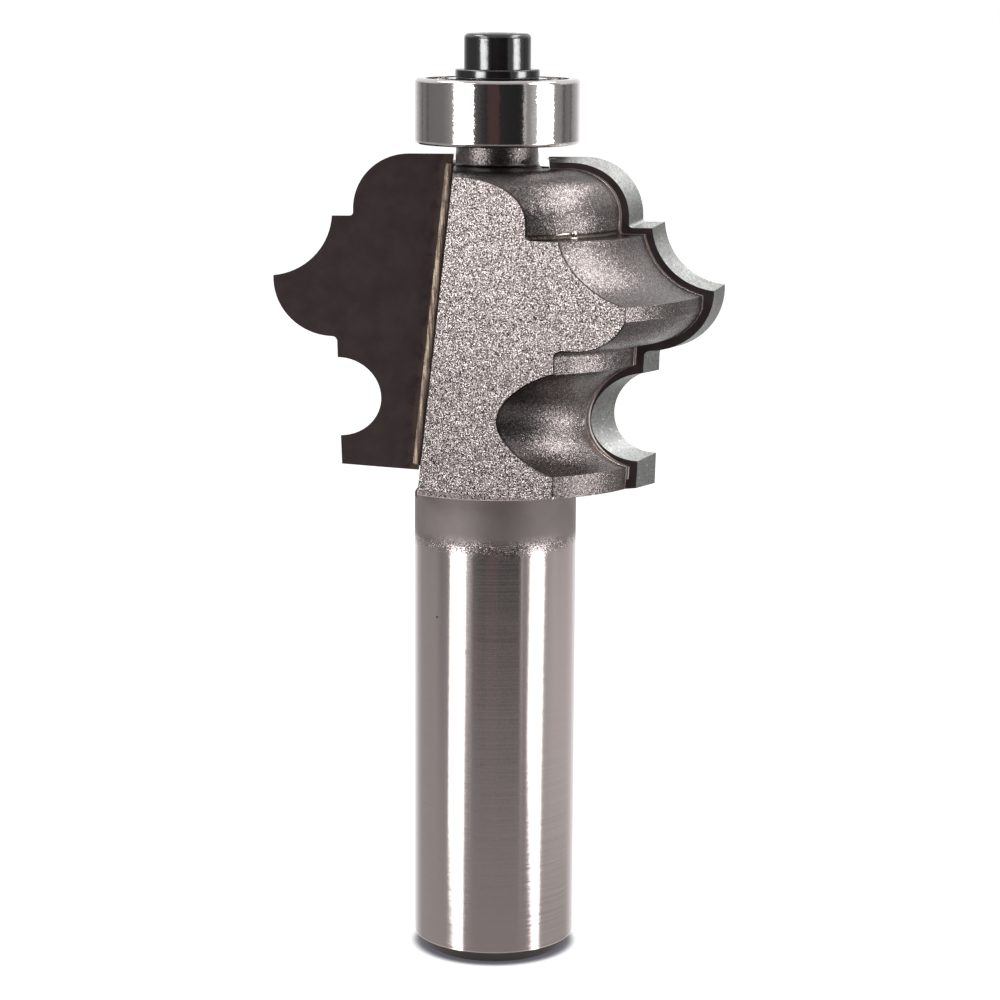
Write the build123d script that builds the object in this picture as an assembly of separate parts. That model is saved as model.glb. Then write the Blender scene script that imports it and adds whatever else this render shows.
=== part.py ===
from build123d import *
import os
from math import acos, atan2, cos, degrees, hypot, radians, sin, sqrt, tan

# Two-flute profile router bit with brazed carbide tips and a ball-bearing pilot.
# Millimetres and degrees. The shank's end face lies on Z = 0 and its axis is +Z.
# The front flute is on the -X side and its cutting face looks along -Y.
# The rear flute is the same, turned half a turn about Z.

# Shank
shank_diameter = 12.7
shank_length = 37.3
shank_chamfer = 1.0

# Cutting profile: radii from the axis, heights from the flange up
cutting_diameter = 35.48
underside_angle = 10.6
flange_height = 2.35
groove_radius = 3.175
neck_height = 1.69
nose_foot = 0.24
nose_foot_fillet = 0.4
nose_radius = 4.55
cove_height = 5.06
cove_radius = 5.18
cove_rise = 0.42
step_width = 1.63
bead_start_radius = 6.99
bead_quirk = 0.46
bead_foot_share = 0.65
bead_radius = 4.42

# Steel body, set back from the cutting profile
body_setback = 0.75
body_land_setback = 1.0
body_crest_trim = 0.24
body_foot_fillet = 0.55
flat_distance = 8.39
flat_azimuth = 245.8
flat_edge_break = 0.08
seat_edge_fillet = 0.18
gullet_runout = 1.2

# Carbide tips and the braze that holds them
tip_thickness = 2.3
tip_rake_offset = 1.48
tip_shear = 5.65
tip_seam_offset = 3.217
tip_seam_tilt = 6.3
tip_underside_angle = 4.8
tip_relief_radial = 0.3
tip_relief_side = 0.18
tip_relief_drop = 0.12
braze_gap = 0.15
braze_bead = 0.7
braze_bead_hollow = 0.26

# Pilot bearing
bearing_bore = 4.7625
bearing_outer_diameter = 12.7
bearing_width = 4.978
bearing_edge_fillet = 0.3
bore_edge_fillet = 0.2
ball_diameter = 1.588
ball_count = 7
race_conformity = 0.52
race_depth = 0.33
race_clearance = 0.05
cage_side_clearance = 0.15
cage_pocket_clearance = 0.08
cage_floor = 0.3
cage_prong_rise = 0.42
cage_prong_thickness = 0.4
cage_web_height = 0.55
shield_seat = 1.55
shield_thickness = 0.2
shield_dish = 0.15
shield_dish_width = 0.25
shield_hole_gap = 0.12
counterbore_depth = 0.62
wire_diameter = 0.34
wire_groove_depth = 0.17
wire_clearance = 0.03
wire_opening_angle = 34.0

# Bearing seat, washer and retaining screw
boss_radius = 3.2
boss_height = 1.63
boss_foot_fillet = 0.25
stem_clearance = 0.02
stem_shortfall = 0.25
washer_diameter = 6.5
washer_thickness = 0.7
washer_hole_clearance = 0.1
washer_edge_fillet = 0.12
screw_diameter = 3.175
screw_length = 9.5
screw_chamfer = 0.35
thread_clearance = 0.03
tapped_hole_runout = 2.5
drill_point_angle = 118.0
head_diameter = 5.15
head_height = 2.72
head_edge_fillet = 0.38
socket_sides = 6
socket_width = 2.38
socket_depth = 1.45
socket_chamfer = 0.12

# Radii and heights that follow from the sizes above
shank_radius = shank_diameter / 2
cutter_radius = cutting_diameter / 2
nose_centre_radius = cutter_radius - nose_radius
land_radius = nose_centre_radius - nose_foot
body_land_radius = land_radius - body_land_setback
step_radius = bead_start_radius + bead_radius + step_width
cove_centre_radius = step_radius + cove_radius
underside_rise = (body_land_radius - shank_radius) * tan(radians(underside_angle))
cutter_bottom = shank_length + underside_rise
groove_z = cutter_bottom + flange_height + groove_radius
nose_z = groove_z + groove_radius + neck_height + nose_radius
step_z = nose_z + cove_height
cutter_top = step_z + bead_quirk + bead_radius
cutter_height = cutter_top - cutter_bottom
body_top = cutter_top - body_setback
reach = 2 * cutter_radius
plane_tolerance = 0.001

bearing_bottom = body_top + boss_height
bearing_middle = bearing_bottom + bearing_width / 2
bearing_top = bearing_bottom + bearing_width
stem_top = bearing_top - stem_shortfall
washer_top = bearing_top + washer_thickness
head_top = washer_top + head_height
screw_tip = washer_top - screw_length

bore_radius = bearing_bore / 2
stem_radius = bore_radius - stem_clearance
bearing_radius = bearing_outer_diameter / 2
ball_radius = ball_diameter / 2
pitch_radius = (bore_radius + bearing_radius) / 2
race_radius = ball_diameter * race_conformity
inner_race_bottom = pitch_radius - ball_radius - race_clearance
outer_race_bottom = pitch_radius + ball_radius + race_clearance
inner_shoulder = inner_race_bottom + race_depth
outer_shoulder = outer_race_bottom - race_depth
counterbore_radius = outer_shoulder + counterbore_depth
wire_radius = wire_diameter / 2
screw_radius = screw_diameter / 2
pocket_depth = tip_thickness + braze_gap


def polar(centre, radius, angle):
    x = centre[0] + radius * cos(radians(angle))
    y = centre[1] + radius * sin(radians(angle))
    return (x, y)


def angle_from(centre, point):
    return degrees(atan2(point[1] - centre[1], point[0] - centre[0]))


def arc(centre, radius, start, end):
    """Arc about a centre, the short way round from start to end."""
    first = angle_from(centre, start)
    sweep = (angle_from(centre, end) - first + 180) % 360 - 180
    return ThreePointArc(start, polar(centre, radius, first + sweep / 2), end)


def circle_crossing(centre_a, radius_a, centre_b, radius_b):
    """The crossing of two circles that lies furthest from the axis."""
    span = hypot(centre_b[0] - centre_a[0], centre_b[1] - centre_a[1])
    half = degrees(acos((span**2 + radius_a**2 - radius_b**2) / (2 * span * radius_a)))
    middle = angle_from(centre_a, centre_b)
    return max(polar(centre_a, radius_a, middle - half), polar(centre_a, radius_a, middle + half))


def closed_face(edges):
    return make_face(Wire(edges))


def outline(points):
    """Straight edges through the points, left open."""
    return [Line(a, b) for a, b in zip(points, points[1:])]


def polygon_face(points):
    return closed_face(outline(points + points[:1]))


def spun(section, sweep=360.0):
    """Solid of revolution about Z of a section drawn as radius and height."""
    return revolve(Plane.XZ * section, Axis.Z, sweep)


def profile_edges(setback, land_setback, crest_trim=0.0, foot_fillet=nose_foot_fillet, drop=0.0):
    """Bead, step, cove, nose, groove and flange, set back from the cutting edge."""
    shift = land_setback - setback
    step = step_z - drop
    nose_middle = nose_z - drop
    groove_middle = groove_z - drop
    bead_centre = (bead_start_radius - shift, step + bead_quirk)
    bead = bead_radius - setback
    bead_edge = bead_centre[0] + bead
    shelf_z = step - setback
    bead_foot = bead_foot_share * bead_quirk
    cove_centre = (cove_centre_radius - shift, step + cove_rise)
    cove = cove_radius + setback
    nose_centre = (nose_centre_radius - shift, nose_middle)
    nose = nose_radius - setback
    land = land_radius - land_setback
    groove_centre = (land_radius - shift, groove_middle)
    groove = groove_radius + setback

    bead_top = (bead_centre[0], bead_centre[1] + bead)
    bead_side = (bead_edge, bead_centre[1])
    foot_high = (bead_edge, shelf_z + bead_foot)
    foot_low = (bead_edge + bead_foot, shelf_z)
    foot_centre = (bead_edge + bead_foot, shelf_z + bead_foot)
    shelf_end = (cove_centre[0] - sqrt(cove**2 - (cove_centre[1] - shelf_z) ** 2), shelf_z)
    if crest_trim:
        crest = nose_centre[0] + nose - crest_trim
        cove_end = (crest, cove_centre[1] - sqrt(cove**2 - (cove_centre[0] - crest) ** 2))
        nose_start = (crest, nose_centre[1] - sqrt(nose**2 - (crest - nose_centre[0]) ** 2))
        crest_edges = [Line(cove_end, nose_start)]
    else:
        cove_end = circle_crossing(nose_centre, nose, cove_centre, cove)
        nose_start = cove_end
        crest_edges = []
    corner_side = nose_centre[0] - land - foot_fillet
    corner_drop = sqrt((nose + foot_fillet) ** 2 - corner_side**2)
    corner_centre = (land + foot_fillet, nose_middle - corner_drop)
    nose_end = polar(nose_centre, nose, angle_from(nose_centre, corner_centre))
    neck_top = (land, corner_centre[1])
    groove_half = sqrt(groove**2 - setback**2)
    groove_top = (land, groove_middle + groove_half)
    groove_bottom = (land, groove_middle - groove_half)
    groove_deepest = (groove_centre[0] - groove, groove_middle)
    flange_bottom = (land, cutter_bottom)

    edges = [arc(bead_centre, bead, bead_top, bead_side)]
    edges += [Line(bead_side, foot_high)]
    edges += [arc(foot_centre, bead_foot, foot_high, foot_low)]
    edges += [Line(foot_low, shelf_end)]
    edges += [arc(cove_centre, cove, shelf_end, cove_end)]
    edges += crest_edges
    edges += [arc(nose_centre, nose, nose_start, nose_end)]
    edges += [arc(corner_centre, foot_fillet, nose_end, neck_top)]
    edges += [Line(neck_top, groove_top)]
    edges += [ThreePointArc(groove_top, groove_deepest, groove_bottom)]
    edges += [Line(groove_bottom, flange_bottom)]
    return edges, bead_top, flange_bottom


def steel_blank():
    """Shank, cutter body, boss and bearing stem as they come off the lathe."""
    trims = (body_crest_trim, body_foot_fillet)
    edges, bead_top, flange_bottom = profile_edges(body_setback, body_land_setback, *trims)
    boss_foot = (boss_radius + boss_foot_fillet, body_top)
    boss_side = (boss_radius, body_top + boss_foot_fillet)
    boss_foot_centre = (boss_foot[0], boss_side[1])
    shank_side = [(shank_radius, shank_length), (shank_radius, shank_chamfer)]
    shank_end = [(shank_radius - shank_chamfer, 0), (0, 0)]
    stem = [(0, stem_top), (stem_radius, stem_top), (stem_radius, bearing_bottom)]
    seat = [(boss_radius, bearing_bottom), boss_side]
    edges += outline([flange_bottom, *shank_side, *shank_end, *stem, *seat])
    edges += [arc(boss_foot_centre, boss_foot_fillet, boss_side, boss_foot)]
    edges += [Line(boss_foot, bead_top)]
    return spun(closed_face(edges))


def tip_envelope(setback, land_setback, drop):
    """Solid of revolution whose section is a tip's outline."""
    edges, bead_top, flange_bottom = profile_edges(setback, land_setback, drop=drop)
    axis_bottom = (0, cutter_bottom - land_radius * tan(radians(tip_underside_angle)))
    edges += outline([flange_bottom, axis_bottom, (0, bead_top[1]), bead_top])
    return spun(closed_face(edges))


# The front cutting face, and the seam where the gullet's wall rises from it
face_plane = Plane(
    origin=(0, tip_rake_offset, cutter_top),
    x_dir=(1, 0, 0),
    z_dir=(0, -cos(radians(tip_shear)), -sin(radians(tip_shear))),
)
seam_top = face_plane.from_local_coords((-tip_seam_offset, 0, 0))
seam_up = face_plane.x_dir * sin(radians(tip_seam_tilt)) + face_plane.y_dir * cos(radians(tip_seam_tilt))
seam_across = seam_up.cross(face_plane.z_dir)
seam_length = cutter_height / (cos(radians(tip_shear)) * cos(radians(tip_seam_tilt)))

# The front flat, drawn from below the flange up
flat_away = (cos(radians(flat_azimuth)), sin(radians(flat_azimuth)), 0)
flat_foot = (flat_distance * flat_away[0], flat_distance * flat_away[1], shank_length - gullet_runout)
flat_plane = Plane(origin=flat_foot, x_dir=(0, 0, 1), z_dir=flat_away)


def along_seam(section, below, above):
    """Prism along the seam; its section is drawn as distance across and depth behind the face."""
    start = Plane(origin=seam_top - seam_up * below, x_dir=seam_across, z_dir=seam_up)
    return extrude(start * section, below + above)


def rear(shape):
    return Rot(0, 0, 180) * shape


def gullet_cut():
    """Chip gullet, with the tip's pocket behind it."""
    section = [(0, -reach), (0, pocket_depth), (-reach, pocket_depth), (-reach, -reach)]
    return along_seam(polygon_face(section), seam_length + gullet_runout, body_setback)


def flat_cut():
    """Flat milled beside the gullet, parallel to the axis."""
    height = cutter_top - flat_foot[2]
    return extrude(flat_plane * Pos(height / 2, 0) * Rectangle(height, 2 * reach), reach)


def tapped_hole():
    depth_z = screw_tip - tapped_hole_runout
    point_z = depth_z - screw_radius / tan(radians(drill_point_angle / 2))
    section = [(0, point_z), (screw_radius, depth_z), (screw_radius, stem_top), (0, stem_top)]
    return spun(polygon_face(section))


def front_tip():
    """Carbide blank, its edge ground to the profile and relieved towards the back."""
    cutting = tip_envelope(0, 0, 0)
    relieved = tip_envelope(tip_relief_side, tip_relief_side + tip_relief_radial, tip_relief_drop)
    face = section(cutting, section_by=face_plane)
    back = section(relieved, section_by=face_plane.offset(-tip_thickness))
    ground = loft([face.face(), back.face()], ruled=True)
    inner = [(-braze_gap, -tip_thickness), (reach, -tip_thickness)]
    inner += [(reach, 2 * tip_thickness), (-braze_gap, 2 * tip_thickness)]
    return ground - along_seam(polygon_face(inner), 2 * seam_length, seam_length)


def front_braze(blank, tip):
    """Filler behind the tip and along its inner edge, with a bead in the corner of face and gullet."""
    pocket = polygon_face([(0, 0), (0, pocket_depth), (-reach, pocket_depth), (-reach, 0)])
    layer = (along_seam(pocket, seam_length, body_setback) & blank) - tip
    wall_side = (0, -braze_bead)
    tip_side = (-braze_bead, 0)
    hollow = (-braze_bead_hollow, -braze_bead_hollow)
    bead_edges = outline([tip_side, (0, 0), wall_side])
    bead_edges += [ThreePointArc(wall_side, hollow, tip_side)]
    bead = along_seam(closed_face(bead_edges), seam_length, body_setback) & blank
    return layer + bead


def raised(shape):
    return Pos(0, 0, bearing_middle) * shape


def mirrored_down(points):
    """The points and their mirror below the bearing's middle, in order."""
    return points + [(r, -z) for r, z in reversed(points)]


def outer_ring():
    half = bearing_width / 2
    wire_floor = shield_seat + shield_thickness
    wire_roof = wire_floor + wire_diameter + wire_clearance
    wire_wall = counterbore_radius + wire_groove_depth
    upper = [(bearing_radius, half), (counterbore_radius, half), (counterbore_radius, wire_roof)]
    upper += [(wire_wall, wire_roof), (wire_wall, wire_floor), (counterbore_radius, wire_floor)]
    upper += [(counterbore_radius, shield_seat), (outer_shoulder, shield_seat)]
    ring = polygon_face(mirrored_down(upper))
    ring -= Pos(outer_race_bottom - race_radius, 0) * Circle(race_radius)
    rim = ring.vertices().group_by(Axis.X)[-1]
    return raised(spun(fillet(rim, bearing_edge_fillet)))


def inner_ring():
    middle_radius = (bore_radius + inner_shoulder) / 2
    ring = Pos(middle_radius, 0) * Rectangle(inner_shoulder - bore_radius, bearing_width)
    ring -= Pos(inner_race_bottom + race_radius, 0) * Circle(race_radius)
    mouth = ring.vertices().group_by(Axis.X)[0]
    return raised(spun(fillet(mouth, bore_edge_fillet)))


def ball_places():
    return [Rot(0, 0, 360 / ball_count * i) for i in range(ball_count)]


def balls():
    ball = Pos(pitch_radius, 0, 0) * Sphere(ball_radius)
    return [raised(place * ball) for place in ball_places()]


def cage():
    """Crown cage: a ring with a pocket for each ball, open at the top."""
    inner = inner_shoulder + cage_side_clearance
    outer = outer_shoulder - cage_side_clearance
    pocket_radius = ball_radius + cage_pocket_clearance
    floor_z = -(pocket_radius + cage_floor)
    web_z = floor_z + cage_floor + cage_web_height
    wall = [(inner, floor_z), (outer, floor_z), (outer, cage_prong_rise), (inner, cage_prong_rise)]
    ring = spun(polygon_face(wall))
    spacing = 2 * pitch_radius * sin(radians(180 / ball_count))
    gap_width = spacing - 2 * (pocket_radius + cage_prong_thickness)
    between = Rot(0, 0, 180 / ball_count)
    notch_height = cage_prong_rise - web_z + ball_radius
    notch = Pos(pitch_radius, 0, web_z + notch_height / 2) * Box(ball_diameter, gap_width, notch_height)
    pocket = Pos(pitch_radius, 0, 0) * Sphere(pocket_radius)
    for place in ball_places():
        ring -= place * pocket
        ring -= place * between * notch
    return raised(ring)


def upper_shield():
    rim = counterbore_radius - wire_clearance
    shoulder = outer_shoulder
    dish = shoulder - shield_dish_width
    hole = inner_shoulder + shield_hole_gap
    under = [(rim, shield_seat), (shoulder, shield_seat)]
    under += [(dish, shield_seat + shield_dish), (hole, shield_seat + shield_dish)]
    over = [(r, z + shield_thickness) for r, z in reversed(under)]
    return spun(polygon_face(under + over))


def upper_wire():
    """Open snap wire that holds the shield in the outer ring."""
    centre_radius = counterbore_radius + wire_groove_depth - wire_clearance - wire_radius
    centre_z = shield_seat + shield_thickness + wire_radius
    loop = spun(Pos(centre_radius, centre_z) * Circle(wire_radius), 360 - wire_opening_angle)
    return Rot(0, 0, wire_opening_angle) * loop


def lower(shape):
    return Rot(180, 0, 0) * shape


def washer():
    hole = screw_radius + washer_hole_clearance
    rim = washer_diameter / 2
    middle_z = bearing_top + washer_thickness / 2
    ring = Pos((hole + rim) / 2, middle_z) * Rectangle(rim - hole, washer_thickness)
    corners = ring.vertices().group_by(Axis.X)[-1]
    return spun(fillet(corners, washer_edge_fillet))


def retaining_screw():
    """Socket-head cap screw; its thread is left plain at the pitch diameter."""
    shank = screw_radius - thread_clearance
    head = head_diameter / 2
    crown = head - head_edge_fillet
    crown_foot = head_top - head_edge_fillet
    tip = [(0, screw_tip), (shank - screw_chamfer, screw_tip), (shank, screw_tip + screw_chamfer)]
    edges = outline([(0, head_top), *tip, (shank, washer_top), (head, washer_top), (head, crown_foot)])
    edges += [arc((crown, crown_foot), head_edge_fillet, (head, crown_foot), (crown, head_top))]
    edges += [Line((crown, head_top), (0, head_top))]
    screw = spun(closed_face(edges))
    corner = socket_width / 2 / cos(radians(180 / socket_sides))
    hexagon = Pos(0, 0, head_top - socket_depth) * RegularPolygon(corner, socket_sides)
    mouth = corner + socket_chamfer
    lead_in = polygon_face([(0, head_top), (mouth, head_top), (0, head_top - mouth)])
    return screw - extrude(hexagon, socket_depth) - spun(lead_in)


def edges_in(solid, plane):
    """The solid's edges that lie in the plane."""
    def lies_in(edge):
        return all(plane.contains(edge @ share, plane_tolerance) for share in (0, 0.5, 1))

    return [edge for edge in solid.edges() if lies_in(edge)]


def steel_body(blank):
    """Blank with both gullets and flats cut, the edges beside them broken, and the hole tapped."""
    cut = gullet_cut() + flat_cut()
    body = blank - cut - rear(cut) - tapped_hole()
    for _ in ("front", "rear"):
        corner = edges_in(body, Plane(origin=seam_top, z_dir=seam_across))
        seat = edges_in(body, face_plane.offset(-pocket_depth))
        body = body.fillet(seat_edge_fillet, [edge for edge in seat if edge not in corner])
        body = rear(body.fillet(flat_edge_break, edges_in(body, flat_plane)))
    return body


def build():
    blank = steel_blank()
    tip = front_tip()
    braze = front_braze(blank, tip)
    parts = {
        "body": steel_body(blank),
        "carbide_tip_front": tip,
        "carbide_tip_rear": rear(tip),
        "braze_front": braze,
        "braze_rear": rear(braze),
        "bearing_inner_ring": inner_ring(),
        "bearing_outer_ring": outer_ring(),
        "bearing_cage": cage(),
        "upper_shield": raised(upper_shield()),
        "lower_shield": raised(lower(upper_shield())),
        "upper_shield_wire": raised(upper_wire()),
        "lower_shield_wire": raised(lower(upper_wire())),
        "washer": washer(),
        "retaining_screw": retaining_screw(),
    }
    for number, ball in enumerate(balls(), start=1):
        parts[f"ball_{number}"] = ball
    return parts


os.makedirs("parts", exist_ok=True)
for node, solid in build().items():
    export_step(solid, f"parts/{node}.step")
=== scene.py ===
from math import cos, hypot, pi, radians, sin, sqrt, tan

import bpy
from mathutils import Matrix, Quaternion, Vector


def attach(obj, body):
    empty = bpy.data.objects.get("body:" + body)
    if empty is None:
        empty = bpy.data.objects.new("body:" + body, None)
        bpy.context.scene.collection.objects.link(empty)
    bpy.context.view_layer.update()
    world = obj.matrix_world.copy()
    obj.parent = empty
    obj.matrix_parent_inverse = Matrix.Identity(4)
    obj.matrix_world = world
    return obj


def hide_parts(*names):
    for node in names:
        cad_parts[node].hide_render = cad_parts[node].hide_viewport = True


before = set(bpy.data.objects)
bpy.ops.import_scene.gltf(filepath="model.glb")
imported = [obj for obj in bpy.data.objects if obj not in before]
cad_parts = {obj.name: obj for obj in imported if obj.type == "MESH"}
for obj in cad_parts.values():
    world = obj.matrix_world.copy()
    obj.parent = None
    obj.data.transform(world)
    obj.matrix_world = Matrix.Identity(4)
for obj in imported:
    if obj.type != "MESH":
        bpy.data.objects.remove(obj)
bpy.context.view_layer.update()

# Lengths in this script are metres, like the frame. Material nodes read millimetres, from mm_position.
MM = 0.001

# Camera, solved from the photograph's edges
camera_position = Vector((2.12, -217.95, 76.81)) * MM
camera_pan = radians(-0.464)
camera_tilt = radians(-10.555)
camera_roll = radians(0.288)
camera_lens = 101.29

# Places on the bit that its finish changes at, in millimetres. The planes are the front flute's.
chamfer_top = 1.0
ground_end = 33.4
collar_end = 38.2
boss_foot = 62.5
top_face = 61.9
shelf_height = 57.598
flat_distance = 8.39
flat_normal = (-0.40992, -0.91212, 0.0)
wall_normal = (0.99396, 0.0108, -0.1092)
wall_offset = -10.086
face_normal = (0.0, 0.995142, 0.098451)
face_offset = 7.698
pocket_depth = 2.45
edge_break = 0.1
flat_tolerance = 0.003
speck_place = (-4.464, -4.514, 27.749)

# The body's groove: middle and half of its height, and the section arcs in the solid and in the photograph.
# Mesh places within groove_reach of the solid's arc are on the groove.
groove_middle = 43.873
groove_half = 3.853
solid_groove_centre = 12.70
solid_groove_radius = 3.925
groove_centre = 13.32
groove_radius = 4.09
groove_reach = 0.33

# A place this far behind the tip's seat starts to slide along the flat instead of along the seat
seat_margin = 0.25
seat_change = 2.35

# The rear tip's upper inner corner stands this much further out than the front one's. Mesh places within
# tip_end_depth of its inner end move.
rear_tip_shift = 0.58
tip_end_depth = 0.2

# Solder spatter on the bead: the points that each lump is drawn along, and its radius
spatter_line = ((4.363, -9.452, 57.893), (4.929, -9.164, 57.944), (5.572, -8.787, 57.988))
spatter_drop = ((5.66, -8.74, 57.95), (5.881, -8.60, 57.949), (6.09, -8.45, 57.95))
spatter_tail = ((5.528, -8.922, 57.67), (5.828, -8.766, 57.65), (6.205, -8.514, 57.64))
spatter_lumps = ((spatter_line, 0.06), (spatter_drop, 0.21), (spatter_tail, 0.045))
solder_flatness = 0.75
solder_end = 0.08

# Grains of the blasted steel in each millimetre
grain_scale = 17.0

# Height that the lamps aim at, in millimetres
lamp_aim = 50.0

steel_tint = (1.0, 0.885, 0.86)
brown_tint = (1.0, 0.72, 0.55)


def tinted(level, tint=steel_tint):
    return (*(level * share for share in tint), 1.0)


class Nodes:
    """Short calls that add nodes to a material or world."""

    def __init__(self, owner):
        owner.use_nodes = True
        self.tree = owner.node_tree
        self.tree.nodes.clear()

    def put(self, socket, value):
        if isinstance(value, bpy.types.NodeSocket):
            self.tree.links.new(value, socket)
        else:
            socket.default_value = value

    def add(self, kind, inputs=(), output=0, **settings):
        node = self.tree.nodes.new(kind)
        for name, value in settings.items():
            setattr(node, name, value)
        for key, value in dict(inputs).items():
            self.put(node.inputs[key], value)
        return node.outputs[output] if node.outputs else None

    def math(self, operation, *values):
        return self.add("ShaderNodeMath", enumerate(values), operation=operation)

    def product(self, *values):
        result = values[0]
        for value in values[1:]:
            result = self.math("MULTIPLY", result, value)
        return result

    def vector(self, operation, *values, output=0, scale=None):
        inputs = dict(enumerate(values))
        if scale is not None:
            inputs["Scale"] = scale
        return self.add("ShaderNodeVectorMath", inputs, output, operation=operation)

    def dot(self, a, b):
        return self.vector("DOT_PRODUCT", a, b, output="Value")

    def ramp(self, value, low, high, start=0.0, end=1.0):
        """Smooth change from start to end while value goes from low to high."""
        inputs = {"Value": value, "From Min": low, "From Max": high, "To Min": start, "To Max": end}
        return self.add("ShaderNodeMapRange", inputs, interpolation_type="SMOOTHSTEP")

    def band(self, value, low, high, soft):
        """1 where value lies between low and high, with soft ends."""
        rise = self.ramp(value, low - soft, low + soft)
        fall = self.ramp(value, high - soft, high + soft, 1.0, 0.0)
        return self.product(rise, fall)

    def mix(self, share, a, b, how="MIX"):
        """Mix of two colours."""
        return self.add("ShaderNodeMix", {0: share, 6: a, 7: b}, 2, data_type="RGBA", blend_type=how)

    def blend(self, share, a, b):
        """Mix of two numbers."""
        return self.add("ShaderNodeMix", {0: share, 2: a, 3: b}, 0, data_type="FLOAT")

    def noise(self, position, scale, detail=2.0, roughness=0.5):
        inputs = {"Vector": position, "Scale": scale, "Detail": detail, "Roughness": roughness}
        return self.add("ShaderNodeTexNoise", inputs)

    def stretched(self, position, x, y, z):
        return self.vector("MULTIPLY", position, (x, y, z))

    def mm_position(self):
        place = self.add("ShaderNodeTexCoord", output="Object")
        return self.vector("SCALE", place, scale=1 / MM)

    def split(self, position):
        return self.tree_node("ShaderNodeSeparateXYZ", position).outputs

    def tree_node(self, kind, first):
        node = self.tree.nodes.new(kind)
        self.tree.links.new(first, node.inputs[0])
        return node

    def surface_normal(self):
        return self.add("ShaderNodeNewGeometry", output="Normal")

    def folded(self, x, y, z):
        """The position turned onto the front flute, because the rear one is the same half a turn round."""
        side = self.math("SIGN", x)
        return self.add("ShaderNodeCombineXYZ", {
            0: self.product(x, side, -1.0),
            1: self.product(y, side, -1.0),
            2: z,
        })

    def grains(self, position, per_mm):
        """A random vector and a random number for each grain."""
        cells = self.tree_node("ShaderNodeTexVoronoi", position)
        cells.inputs["Scale"].default_value = per_mm
        direction = self.vector("SUBTRACT", cells.outputs["Color"], (0.5, 0.5, 0.5))
        number = self.add("ShaderNodeTexWhiteNoise", {"Vector": cells.outputs["Position"]}, "Value")
        return direction, number

    def tipped(self, normal, offset, amount):
        """The normal tipped by amount times the offset vector."""
        leaned = self.vector("ADD", normal, self.vector("SCALE", offset, scale=amount))
        return self.vector("NORMALIZE", leaned)

    def bump(self, height, depth_mm, strength):
        inputs = {"Height": height, "Distance": depth_mm * MM, "Strength": strength}
        return self.add("ShaderNodeBump", inputs)

    def principled(self, colour, roughness, metallic, normal, **constants):
        inputs = {"Base Color": colour, "Roughness": roughness, "Metallic": metallic, "Normal": normal}
        inputs.update(constants)
        shader = self.add("ShaderNodeBsdfPrincipled", inputs)
        self.add("ShaderNodeOutputMaterial", {"Surface": shader})


def new_material(name):
    material = bpy.data.materials.new(name)
    return material, Nodes(material)


def line_offset(n, place, per_mm):
    """Offset along Z that changes from line to line round the axis, for ground and turned steel."""
    lines = n.noise(n.stretched(place, 0.12, 0.12, per_mm), 1.0, 3.0, 0.65)
    centred = n.math("SUBTRACT", lines, 0.5)
    return lines, n.add("ShaderNodeCombineXYZ", {0: 0.0, 1: 0.0, 2: centred})


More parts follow.
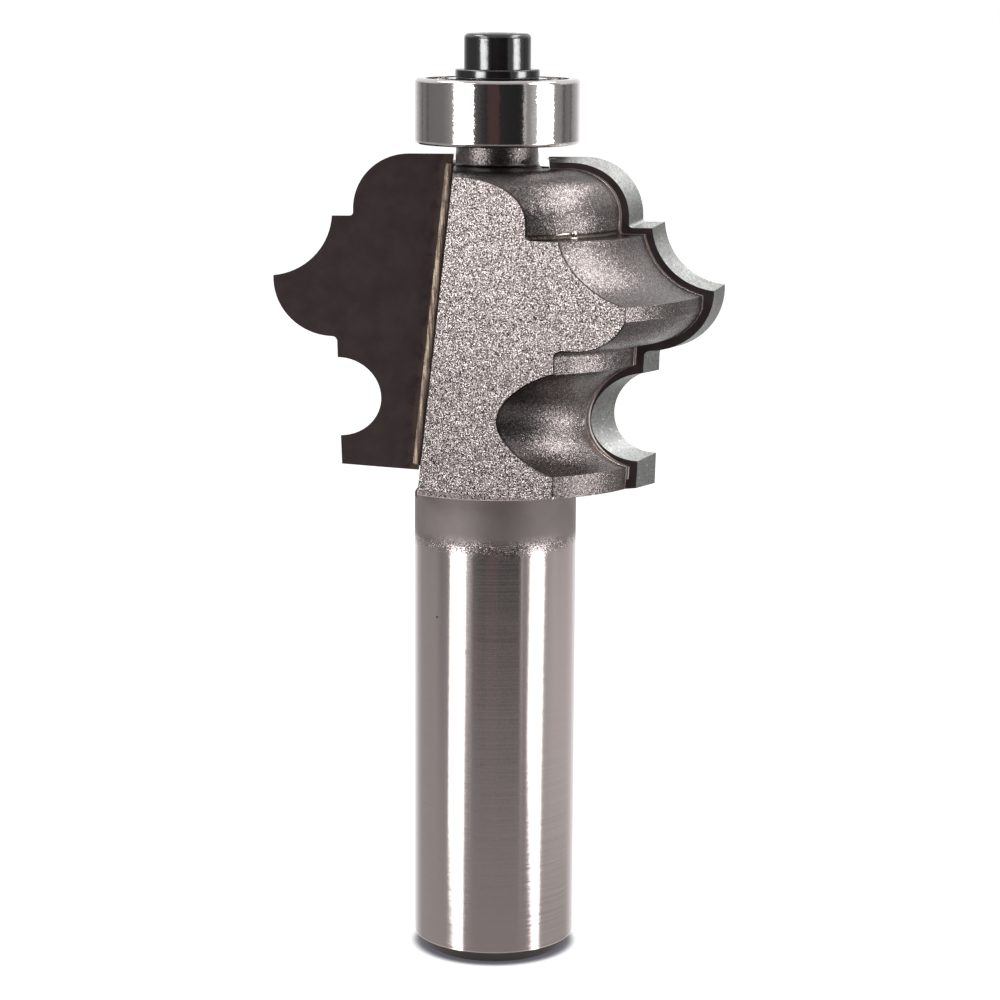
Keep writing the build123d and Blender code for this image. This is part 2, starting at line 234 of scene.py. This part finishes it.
def body_steel():
    """Blasted flats and profile, stained seams, dull collar and ground shank."""
    material, n = new_material("body_steel")
    place = n.mm_position()
    x, y, z = n.split(place)
    folded = n.folded(x, y, z)
    direction, number = n.grains(place, grain_scale)

    side = n.math("SIGN", x)
    inside_flat = n.math("SUBTRACT", flat_distance, n.math("ABSOLUTE", n.dot(place, flat_normal)))
    on_flat = n.math("LESS_THAN", inside_flat, flat_tolerance)
    on_break = n.product(n.math("LESS_THAN", inside_flat, edge_break), n.math("SUBTRACT", 1.0, on_flat))
    behind_face = n.math("SUBTRACT", n.dot(folded, face_normal), face_offset)
    beside_seam = n.math("SUBTRACT", n.dot(folded, wall_normal), wall_offset)
    above_collar = n.math("GREATER_THAN", z, collar_end)
    in_gullet = n.math("LESS_THAN", behind_face, 0.05)
    on_wall = n.product(n.math("LESS_THAN", beside_seam, 0.03), in_gullet, above_collar)
    rim_highlight = n.product(n.band(behind_face, pocket_depth - 0.1, pocket_depth + 0.24, 0.03), above_collar)
    on_boss = n.math("GREATER_THAN", z, boss_foot)

    # The dull collar ends in scattered grains, not in a line
    wander = n.noise(place, 0.5)
    height = n.math("ADD", z, n.blend(wander, -0.35, 0.35))
    height = n.math("ADD", height, n.blend(number, -0.45, 0.45))
    dull = n.ramp(height, ground_end - 0.15, ground_end + 0.15)
    near_dull = n.ramp(z, ground_end - 1.0, ground_end + 0.1)
    lower_collar = n.ramp(z, ground_end + 1.2, ground_end - 0.1)

    lines, line_tip = line_offset(n, place, 11.0)
    turning, turning_tip = line_offset(n, place, 4.5)
    clouds = n.noise(place, 0.4, 3.0, 0.6)

    ground = n.mix(lines, tinted(0.52), tinted(0.60))
    collar = n.mix(clouds, tinted(0.26), tinted(0.37))
    turned = n.mix(number, tinted(0.07), tinted(0.34))
    turned = n.mix(n.ramp(turning, 0.3, 0.7, 0.0, 0.22), turned, tinted(0.13))
    boss = n.mix(number, tinted(0.10), tinted(0.30))
    flat = n.mix(n.ramp(number, 0.1, 0.9), tinted(0.04), tinted(0.79))
    # Painted shade: the flats darken towards the bottom, where less light falls on them.
    shaded_lower_flat = n.mix(n.ramp(number, 0.1, 0.9), tinted(0.02), tinted(0.59))
    flat = n.mix(n.ramp(z, ground_end + 5.0, top_face - 2.0), shaded_lower_flat, flat)
    # Painted shade: the chamfer is near-black brown and not metallic, standing in for the shaded table
    # under the bit that it would reflect.
    shaded_chamfer = n.mix(clouds, tinted(0.035, brown_tint), tinted(0.05))
    stain = n.ramp(n.math("ADD", behind_face, n.blend(clouds, -1.0, 1.0)), -3.0, -0.6)
    wall = n.mix(stain, turned, tinted(0.12, brown_tint))
    behind_pocket = n.band(behind_face, pocket_depth, pocket_depth + 0.75, 0.2)
    brown_behind_seat = n.product(behind_pocket, n.ramp(clouds, 0.3, 0.55))
    speck = n.math("LESS_THAN", n.vector("DISTANCE", place, speck_place, output="Value"), 0.09)

    colour = n.mix(dull, ground, collar)
    # Painted highlight: a light line along the top edge of the chamfer.
    colour = n.mix(n.band(z, chamfer_top, chamfer_top + 0.1, 0.02), colour, tinted(0.85))
    colour = n.mix(n.math("LESS_THAN", z, chamfer_top + 0.01), colour, shaded_chamfer)
    colour = n.mix(speck, colour, tinted(0.05))
    colour = n.mix(above_collar, colour, turned)
    # Brown patches on the steel just behind the tip's seat.
    colour = n.mix(n.product(brown_behind_seat, above_collar, 0.7), colour, tinted(0.13, brown_tint))
    # Painted highlight: the rim behind the tip's seat is near white, with its normal tipped towards the
    # tip, for the light its rounded edge catches.
    colour = n.mix(rim_highlight, colour, tinted(0.95))
    top_shade = n.product(n.ramp(z, top_face - 0.7, top_face), n.math("LESS_THAN", z, boss_foot))
    colour = n.mix(n.product(top_shade, 0.68), colour, tinted(0.06))
    # Painted shade: a dark brown band on the shelf and in the corner at the foot of the bead.
    shelf_corner_shade = n.product(n.band(z, shelf_height - 0.04, shelf_height + 0.38, 0.05), 0.9)
    colour = n.mix(shelf_corner_shade, colour, tinted(0.04, brown_tint))
    colour = n.mix(on_boss, colour, boss)
    # Painted shade: the edge breaks beside the flats are dark.
    colour = n.mix(n.product(on_break, above_collar), colour, tinted(0.10))
    # Painted highlight: the edge break at the flats' lower ends is near white.
    above_shank = n.math("GREATER_THAN", z, ground_end + 2.0)
    bottom_break_highlight = n.product(on_break, n.math("LESS_THAN", z, collar_end + 0.3), above_shank)
    colour = n.mix(bottom_break_highlight, colour, tinted(0.95))
    colour = n.mix(on_flat, colour, flat)
    colour = n.mix(on_wall, colour, wall)

    rough = n.blend(dull, n.blend(lines, 0.10, 0.14), 0.66)
    rough = n.blend(n.math("LESS_THAN", z, chamfer_top), rough, 0.6)
    rough = n.blend(n.product(dull, lower_collar), rough, 0.24)
    rough = n.blend(above_collar, rough, n.blend(on_flat, 0.27, 0.33))
    rough = n.blend(on_boss, rough, 0.28)
    rough = n.blend(rim_highlight, rough, 0.35)

    tip = n.blend(near_dull, 0.015, 0.10)
    tip = n.blend(dull, tip, n.blend(lower_collar, 0.06, 0.85))
    tip = n.blend(above_collar, tip, 0.29)
    tip = n.blend(rim_highlight, tip, 0.05)
    tip = n.blend(on_boss, tip, 0.30)
    tip = n.blend(on_flat, tip, 0.6)
    line_share = n.blend(above_collar, 0.07, 0.16)
    line_tips = {0: above_collar, 4: line_tip, 5: turning_tip}
    lines_here = n.add("ShaderNodeMix", line_tips, 1, data_type="VECTOR")
    normal = n.tipped(n.surface_normal(), lines_here, line_share)
    across_seat = n.product(side, face_normal[1])
    towards_tip = n.add("ShaderNodeCombineXYZ", {0: 0.0, 1: across_seat, 2: -face_normal[2]})
    normal = n.tipped(normal, towards_tip, n.product(rim_highlight, -0.9))
    normal = n.tipped(normal, direction, tip)
    metallic = n.math("GREATER_THAN", z, chamfer_top + 0.01)
    n.principled(colour, rough, metallic, normal)
    return material


def carbide():
    """Dark sintered faces, and light relief-ground strips along the profile."""
    material, n = new_material("carbide")
    place = n.mm_position()
    x, y, z = n.split(place)
    folded = n.folded(x, y, z)
    facing = n.add("ShaderNodeTexCoord", output="Normal")
    across = n.math("ABSOLUTE", n.dot(facing, face_normal))
    opposed = n.math("ABSOLUTE", n.dot(facing, (0.0, face_normal[1], -face_normal[2])))
    right = n.math("GREATER_THAN", x, 0.0)
    dark = n.math("GREATER_THAN", n.blend(right, across, opposed), 0.93)
    mottle = n.noise(place, 0.55, 4.0, 0.62)
    speck = n.noise(place, 9.0, 2.0, 0.6)
    fleck = n.noise(place, 4.0, 3.0, 0.7)
    scratches = n.noise(n.stretched(place, 7.0, 0.4, 7.0), 1.0, 2.0, 0.6)
    from_seam = n.math("SUBTRACT", wall_offset - 0.5, n.dot(folded, wall_normal))
    blotches = n.ramp(n.noise(place, 0.9, 3.0, 0.6), 0.42, 0.62)
    stained = n.product(n.ramp(from_seam, 0.0, 1.6, 1.0, 0.0), blotches)
    spread = n.noise(n.stretched(place, 0.4, 0.4, 0.35), 1.0, 3.0, 0.6)
    edging = n.math("ADD", from_seam, n.blend(spread, 0.9, -0.9))
    face = n.mix(n.ramp(mottle, 0.25, 0.75), (0.118, 0.090, 0.090, 1), (0.150, 0.116, 0.117, 1))
    face = n.mix(n.product(stained, 0.65), face, (0.045, 0.033, 0.032, 1))
    face = n.mix(n.ramp(edging, 0.15, 0.55, 0.9, 0.0), face, (0.20, 0.148, 0.122, 1))
    strip = n.mix(n.ramp(mottle, 0.3, 0.7), (0.40, 0.405, 0.395, 1), (0.52, 0.53, 0.51, 1))
    strip = n.mix(n.ramp(scratches, 0.45, 0.7), strip, (0.32, 0.32, 0.31, 1))
    strip = n.mix(n.ramp(fleck, 0.60, 0.68), strip, (0.85, 0.86, 0.86, 1))
    # Painted light: the relief strips are lighter where they face up and darker where they face down.
    lit_from_above = n.ramp(n.split(facing)[2], -0.1, 0.8, 0.62, 1.3)
    painted_top_light = n.add("ShaderNodeCombineColor", {0: lit_from_above, 1: lit_from_above, 2: lit_from_above})
    strip = n.mix(1.0, strip, painted_top_light, "MULTIPLY")
    colour = n.mix(dark, strip, face)
    rough = n.blend(dark, n.blend(speck, 0.36, 0.48), n.blend(mottle, 0.34, 0.42))
    height = n.blend(dark, scratches, speck)
    normal = n.bump(height, 0.004, 0.5)
    n.principled(colour, rough, 1.0, normal)
    return material


def braze():
    """Flux-stained silver braze, drawn out in streaks along the seam."""
    material, n = new_material("braze")
    place = n.mm_position()
    x, y, z = n.split(place)
    folded = n.folded(x, y, z)
    across = n.math("SUBTRACT", n.dot(folded, wall_normal), wall_offset - 0.5)
    behind_face = n.math("SUBTRACT", n.dot(folded, face_normal), face_offset)
    wander = n.noise(n.stretched(place, 0.2, 0.2, 0.35), 1.0, 2.0, 0.5)
    fine = n.noise(n.stretched(place, 4.0, 4.0, 0.8), 1.0, 3.0, 0.65)
    across = n.math("ADD", across, n.blend(wander, -0.16, 0.16))
    across = n.math("ADD", across, n.blend(fine, -0.10, 0.10))
    blots = n.noise(place, 1.3, 3.0, 0.6)
    dark = (0.050, 0.036, 0.034, 1)
    streaks = n.noise(n.stretched(place, 6.0, 6.0, 0.22), 1.0, 2.0, 0.55)
    patches = n.noise(n.stretched(place, 0.3, 0.3, 0.5), 1.0, 2.0, 0.5)
    tan_share = n.product(n.ramp(streaks, 0.44, 0.60), n.ramp(patches, 0.36, 0.56, 0.35, 1.0))
    colour = n.mix(tan_share, (0.115, 0.085, 0.071, 1), (0.35, 0.277, 0.215, 1))
    colour = n.mix(n.ramp(across, 0.20, 0.38), colour, dark)
    colour = n.mix(n.ramp(blots, 0.52, 0.70, 0.0, 0.6), colour, dark)
    layer = n.ramp(behind_face, pocket_depth - 0.25, pocket_depth - 0.1)
    colour = n.mix(layer, colour, (0.85, 0.80, 0.75, 1))
    rough = n.blend(layer, n.blend(fine, 0.34, 0.5), 0.3)
    normal = n.bump(n.math("ADD", fine, n.noise(place, 4.0)), 0.03, 0.6)
    n.principled(colour, rough, 1.0, normal)
    return material


def polished_steel(name, colour, roughness, jitter):
    """Bright metal, slightly smeared, with fine grains that tip its surface by the jitter."""
    material, n = new_material(name)
    place = n.mm_position()
    smears = n.noise(place, 0.8, 3.0, 0.6)
    direction = n.grains(n.stretched(place, 0.7, 0.7, 1.0), 11.0)[0]
    dull = tuple(0.9 * c for c in colour)
    shade = n.mix(smears, (*colour, 1), (*dull, 1))
    rough = n.blend(smears, roughness * 0.8, roughness * 1.25)
    n.principled(shade, rough, 1.0, n.tipped(n.surface_normal(), direction, jitter))
    return material


def black_oxide():
    """Glossy oiled black oxide, slightly uneven."""
    material, n = new_material("black_oxide")
    place = n.mm_position()
    uneven = n.noise(place, 2.2, 3.0, 0.6)
    specks = n.noise(place, 9.0, 2.0, 0.6)
    colour = n.mix(uneven, (0.003, 0.003, 0.004, 1), (0.009, 0.008, 0.009, 1))
    rough = n.blend(uneven, 0.10, 0.19)
    normal = n.bump(n.math("ADD", uneven, n.math("MULTIPLY", specks, 0.3)), 0.012, 0.6)
    n.principled(colour, rough, 0.0, normal, IOR=1.92)
    return material


def reshaped(node, name, move):
    """Piece that stands for a node: its mesh, with each vertex put where move says, in millimetres."""
    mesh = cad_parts[node].data.copy()
    mesh.name = name
    for vertex in mesh.vertices:
        vertex.co = move(vertex.co / MM) * MM
    mesh.shade_smooth()
    mesh.set_sharp_from_angle(angle=radians(30))
    piece = bpy.data.objects.new(name, mesh)
    bpy.context.scene.collection.objects.link(piece)
    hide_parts(node)
    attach(piece, "root")
    return piece


def behind_seat(place):
    """Depth of a place behind the plane that the tip on its side is brazed to."""
    side = 1.0 if place.y > 0 else -1.0
    return side * place.y * face_normal[1] + place.z * face_normal[2] - face_offset - pocket_depth


def shallower_groove(place):
    """Where a place on the solid's groove lies on the shallower one, slid within the flat or the seat."""
    height = place.z - groove_middle
    radius = hypot(place.x, place.y)
    inside = hypot(radius - solid_groove_centre, height) - solid_groove_radius
    if abs(height) > groove_half or abs(inside) > groove_reach or radius > solid_groove_centre:
        return place
    solid_arc = solid_groove_centre - sqrt(solid_groove_radius**2 - height**2)
    arc = groove_centre - sqrt(groove_radius**2 - height**2)
    normal = Vector(flat_normal)
    along_flat = Vector((-normal.y, normal.x, 0.0))
    share = 0.0
    if abs(place.dot(normal)) < flat_distance - edge_break:
        share = 1.0 - min(max((behind_seat(place) - seat_margin) / seat_change, 0.0), 1.0)
        share = share * share * (3.0 - 2.0 * share)
    direction = along_flat.lerp(Vector((1.0, 0.0, 0.0)), share).normalized()
    ahead = place.x * direction.x + place.y * direction.y
    grown = (radius + arc - solid_arc)**2 - radius**2
    step = -ahead + (1.0 if ahead > 0 else -1.0) * sqrt(ahead**2 + grown)
    return place + direction * step


def further_out(place):
    """Where a place on the rear tip's inner end lies with the end's top moved outwards."""
    folded = Vector((-place.x, -place.y, place.z))
    if folded.dot(Vector(wall_normal)) - wall_offset < -tip_end_depth:
        return place
    height = (place.z - collar_end) / (boss_foot - collar_end)
    return place + Vector((rear_tip_shift * max(height, 0.0), 0.0, 0.0))


def add_lump(vertices, faces, points, radius, sides=12, rings=9):
    """Lump of solder drawn out along the points, thin at both ends."""
    a, b, c = (Vector(point) for point in points)
    first = len(vertices)
    for ring in range(rings + 1):
        t = ring / rings
        centre = a.lerp(b, t).lerp(b.lerp(c, t), t)
        ahead = (b.lerp(c, t) - a.lerp(b, t)).normalized()
        outward = Vector((centre.x, centre.y, 0.0)).normalized()
        up = ahead.cross(outward).normalized()
        reach = radius * max(sqrt(max(1.0 - (2.0 * t - 1.0)**2, 0.0)), solder_end)
        for side in range(sides):
            angle = 2 * pi * side / sides
            offset = up * (reach * cos(angle)) + outward * (solder_flatness * reach * sin(angle))
            vertices.append((centre + offset) * MM)
    for ring in range(rings):
        for side in range(sides):
            here, there = first + ring * sides + side, first + ring * sides + (side + 1) % sides
            faces.append((here, there, there + sides, here + sides))
    faces.append(tuple(range(first + sides - 1, first - 1, -1)))
    faces.append(tuple(range(first + rings * sides, first + (rings + 1) * sides)))


def add_spatter():
    """Bright solder that spattered onto the bead when the tip was brazed."""
    vertices, faces = [], []
    for points, radius in spatter_lumps:
        add_lump(vertices, faces, points, radius)
    mesh = bpy.data.meshes.new("solder_spatter")
    mesh.from_pydata(vertices, [], faces)
    mesh.shade_smooth()
    piece = bpy.data.objects.new("solder_spatter", mesh)
    bpy.context.scene.collection.objects.link(piece)
    mesh.materials.append(polished_steel("spatter_silver", (0.86, 0.82, 0.76), 0.22, 0.05))
    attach(piece, "root")


def dress(material, *nodes):
    """Gives the material to nodes, named, or to pieces."""
    for node in nodes:
        piece = node if isinstance(node, bpy.types.Object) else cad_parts[node]
        piece.material_slots[0].material = material


steel_piece = reshaped("body", "cutter_body", shallower_groove)
front_filler = reshaped("braze_front", "front_tip_braze", shallower_groove)
rear_filler = reshaped("braze_rear", "rear_tip_braze", shallower_groove)
rear_tip = reshaped("carbide_tip_rear", "rear_cutting_tip", further_out)
add_spatter()

braze_material = braze()
balls = [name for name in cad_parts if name.startswith("ball_")]
dress(body_steel(), "body", steel_piece)
dress(carbide(), "carbide_tip_front", "carbide_tip_rear", rear_tip)
dress(braze_material, "braze_front", "braze_rear", front_filler, rear_filler)
bearing_steel = polished_steel("bearing_steel", (0.68, 0.64, 0.63), 0.085, 0.03)
dress(bearing_steel, "bearing_outer_ring", "bearing_inner_ring")
dress(polished_steel("ball_steel", (0.72, 0.71, 0.70), 0.06, 0.0), *balls)
# Painted shade: the shields are near black, standing in for the shade down in the bearing's recess.
dress(polished_steel("shield_steel", (0.05, 0.040, 0.038), 0.35, 0.0), "upper_shield", "lower_shield")
dress(polished_steel("wire_steel", (0.6, 0.58, 0.56), 0.25, 0.0), "upper_shield_wire", "lower_shield_wire")
dress(polished_steel("cage_steel", (0.5, 0.48, 0.45), 0.35, 0.03), "bearing_cage")
dress(black_oxide(), "retaining_screw", "washer")


def add_floor():
    """Pale floor: white to the camera, and darker only where the bit keeps the light off it."""
    half = 4.0
    mesh = bpy.data.meshes.new("floor")
    corners = [(-half, -half, 0), (half, -half, 0), (half, half, 0), (-half, half, 0)]
    mesh.from_pydata(corners, [], [(0, 1, 2, 3)])
    floor = bpy.data.objects.new("floor", mesh)
    bpy.context.scene.collection.objects.link(floor)
    material, n = new_material("floor")
    mesh.materials.append(material)
    path = n.tree.nodes.new("ShaderNodeLightPath").outputs
    seen = n.math("MAXIMUM", path["Is Camera Ray"], path["Is Transmission Ray"])
    seen = n.math("MAXIMUM", seen, path["Is Glossy Ray"])
    contact = n.add("ShaderNodeAmbientOcclusion", {"Distance": 1.2 * MM}, "AO", samples=16)
    shade = n.mix(n.ramp(contact, 0.36, 0.90), (0.06, 0.052, 0.075, 1), (1, 1, 1, 1))
    glow = n.add("ShaderNodeEmission", {"Color": shade, "Strength": seen})
    pale = n.add("ShaderNodeBsdfDiffuse", {"Color": n.mix(seen, (0.6, 0.6, 0.6, 1), (0.2, 0.2, 0.2, 1))})
    n.add("ShaderNodeOutputMaterial", {"Surface": n.add("ShaderNodeAddShader", {0: glow, 1: pale})})
    floor.visible_glossy = False
    floor.visible_shadow = False


def at(angle):
    """Share of half a turn that an angle in degrees is."""
    return angle / 180


def grey_ramp(n, share, stops):
    """Grey or colour for each angle up to 180 degrees."""
    node = n.tree_node("ShaderNodeValToRGB", share)
    elements = node.color_ramp.elements
    elements.remove(elements[-1])
    for index, (angle, value) in enumerate(stops):
        element = elements[0] if index == 0 else elements.new(at(angle))
        element.position = at(angle)
        element.color = value if isinstance(value, tuple) else (value, value, value, 1)
    return node.outputs[0]


def add_world():
    """White studio behind the bit, grey at its sides and dark behind the camera, over a grey table."""
    world = bpy.data.worlds.new("studio")
    bpy.context.scene.world = world
    n = Nodes(world)
    path = n.tree.nodes.new("ShaderNodeLightPath").outputs
    direction = n.add("ShaderNodeTexCoord", output="Generated")
    x, y, z = n.split(direction)
    turn = n.math("ARCTAN2", x, n.math("MULTIPLY", y, -1.0))
    share = n.math("DIVIDE", n.math("ABSOLUTE", turn), pi)
    brown = (0.085, 0.055, 0.052, 1)
    left = grey_ramp(n, share, [
        (0, brown), (12, brown), (14, 0.035), (22, 0.06), (31, 0.12), (36, 0.72), (43, 0.85), (70, 0.30),
        (80, 0.22), (110, 0.20), (113, 0.12), (116, 0.20), (125, 0.27), (128, 0.15), (132, 0.28),
        (145, 0.55), (160, 1.0),
    ])
    right = grey_ramp(n, share, [
        (0, brown), (2, brown), (5, 0.03), (32, 0.022), (37, 0.05), (39, 0.9), (41, 0.35), (46, 0.34),
        (52, 0.6), (86, 0.42), (100, 0.32), (104, 0.21), (107, 0.13), (111, 0.22), (121, 0.25), (124, 0.15),
        (128, 0.33), (145, 0.6), (160, 1.0),
    ])
    to_right = n.math("GREATER_THAN", turn, 0.0)
    walls = n.mix(to_right, left, right)
    far_table = n.mix(to_right, (0.45, 0.44, 0.435, 1), (0.68, 0.66, 0.65, 1))
    far_table = n.mix(n.ramp(z, -0.27, -0.35), far_table, (0.46, 0.45, 0.445, 1))
    table = n.mix(n.ramp(share, at(45), at(84)), (0.37, 0.355, 0.355, 1), far_table)
    table = n.mix(n.ramp(share, at(125), at(165)), table, (1, 1, 1, 1))
    at_side = n.ramp(share, at(80), at(95))
    low_in_front = n.ramp(z, -sin(radians(21)), -sin(radians(7)), 1.0, 0.0)
    low_behind = n.ramp(z, -sin(radians(14)), -sin(radians(4)), 1.0, 0.0)
    low = n.blend(at_side, low_in_front, low_behind)
    under = n.ramp(z, -0.78, -0.5, 1.0, 0.0)
    studio = n.mix(low, walls, table)
    below = n.mix(n.ramp(share, at(55), at(100)), (0.05, 0.04, 0.04, 1), (0.42, 0.40, 0.40, 1))
    studio = n.mix(under, studio, below)
    ceiling = n.mix(n.ramp(share, at(80), at(120)), (0.55, 0.55, 0.55, 1), (0.95, 0.95, 0.95, 1))
    high = n.blend(at_side, n.ramp(z, 0.25, 0.65), n.ramp(z, 0.0, 0.4))
    studio = n.mix(high, studio, ceiling)
    ambient = (0.35, 0.35, 0.35, 1)
    seen = n.math("MAXIMUM", path["Is Camera Ray"], path["Is Transmission Ray"])
    colour = n.mix(path["Is Glossy Ray"], ambient, studio)
    colour = n.mix(seen, colour, (1, 1, 1, 1))
    shader = n.add("ShaderNodeBackground", {"Color": colour, "Strength": 1.0})
    n.add("ShaderNodeOutputWorld", {"Surface": shader})


def add_lamp(name, azimuth, elevation, distance, width_angle, height_angle, radiance, lean=0.0):
    """Rectangular softbox aimed at the cutter. Azimuth 0 is the camera's side, positive to its right."""
    centre = Vector((0, 0, lamp_aim * MM))
    turn = radians(azimuth)
    rise = radians(elevation)
    away = Vector((sin(turn) * cos(rise), -cos(turn) * cos(rise), sin(rise)))
    lamp = bpy.data.lights.new(name, "AREA")
    lamp.shape = "RECTANGLE"
    lamp.size = 2 * distance * tan(radians(width_angle / 2))
    lamp.size_y = 2 * distance * tan(radians(height_angle / 2))
    lamp.energy = radiance * pi * lamp.size * lamp.size_y
    lamp_object = bpy.data.objects.new(name, lamp)
    lamp_object.location = centre + away * distance
    lamp_object.rotation_mode = "QUATERNION"
    level = (-away).to_track_quat("-Z", "Y")
    lamp_object.rotation_quaternion = level @ Quaternion((0, 0, 1), radians(lean))
    lamp_object.visible_camera = False
    bpy.context.scene.collection.objects.link(lamp_object)


def add_camera():
    camera = bpy.data.cameras.new("camera")
    camera.sensor_fit = "HORIZONTAL"
    camera.sensor_width = 36.0
    camera.lens = camera_lens
    camera.clip_start = 0.01
    camera.clip_end = 20.0
    camera_object = bpy.data.objects.new("camera", camera)
    level_share = cos(camera_tilt)
    ahead = Vector((sin(camera_pan) * level_share, cos(camera_pan) * level_share, sin(camera_tilt)))
    level = ahead.to_track_quat("-Z", "Y")
    camera_object.rotation_mode = "QUATERNION"
    camera_object.rotation_quaternion = level @ Quaternion((0, 0, 1), camera_roll)
    camera_object.location = camera_position
    bpy.context.scene.collection.objects.link(camera_object)
    bpy.context.scene.camera = camera_object


add_floor()
add_world()

# Name, azimuth, elevation, distance in metres, width and height as angles, radiance, and lean
add_lamp("softbox_left", -52.0, 33.0, 0.5, 25.0, 20.0, 5.5)
add_lamp("softbox_right", 66.0, 33.0, 0.5, 26.0, 20.0, 5.5)
add_lamp("softbox_edge_left", -46.5, 0.5, 0.5, 27.0, 5.0, 8.0, -10.0)
add_lamp("softbox_edge_right", 70.5, 0.5, 0.5, 27.0, 5.0, 8.0, -10.0)
add_lamp("table_left", -52.8, -11.0, 0.5, 23.0, 31.0, 2.4, -19.0)
add_lamp("table_right", 64.8, -11.0, 0.5, 21.0, 31.0, 2.2, -28.0)
add_lamp("upper_left", -97.0, 52.0, 0.6, 30.0, 18.0, 5.0)
add_lamp("upper_right", 97.0, 52.0, 0.6, 30.0, 18.0, 5.5)
add_camera()

bpy.context.scene.view_settings.view_transform = "Standard"
